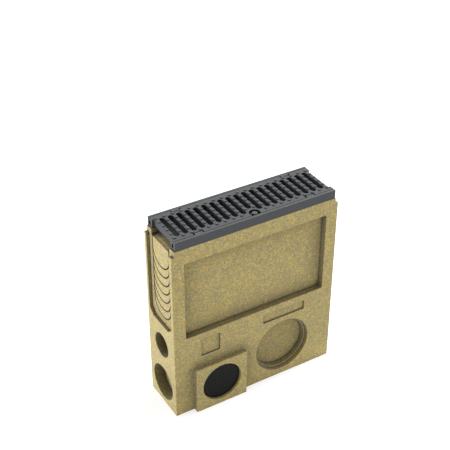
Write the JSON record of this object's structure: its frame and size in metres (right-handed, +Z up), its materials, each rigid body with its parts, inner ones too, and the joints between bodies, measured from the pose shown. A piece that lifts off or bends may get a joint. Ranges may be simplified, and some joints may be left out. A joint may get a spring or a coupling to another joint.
{
  "type": "channel drain sump unit",
  "caption": "Deep polymer-concrete sump box for a line drain, with iron edge rails, slotted iron grating, capped pipe outlet, pipe knock-outs, break-out end panels and a silt bucket inside.",
  "frame": {"origin": "middle of the body's flat underside", "axes": "+X along the channel run, -Y towards the outlet boss, +Z up"},
  "size_m": [0.525, 0.167, 0.5948],
  "materials": {
    "polymer_concrete": "fine sandy cast surface",
    "ductile_iron_rail": "fine as-cast, grey",
    "ductile_iron_grating": "fine as-cast, grey",
    "spring_steel": "bright stainless strip",
    "seal_rubber": "matte black",
    "black_plastic": "fine moulded, matte black",
    "galvanised_sheet": "galvanised spangle",
    "galvanised_wire": "galvanised"
  },
  "bodies": {
    "sump": {"sump_body": "polymer_concrete", "edge_rail_front": "ductile_iron_rail", "edge_rail_rear": "ductile_iron_rail", "grating": "ductile_iron_grating", "lock_springs": "spring_steel", "outlet_seal": "seal_rubber", "outlet_cap": "black_plastic", "silt_bucket": "galvanised_sheet"},
    "bail": {"bucket_bail": "galvanised_wire"}
  },
  "joints": [
    {"name": "bail_hinge", "type": "hinge", "parent": "sump", "child": "bail", "pos_m": [0, 0, 0.3053], "axis": [0, -1, 0], "range_deg": [0, 180]}
  ]
}
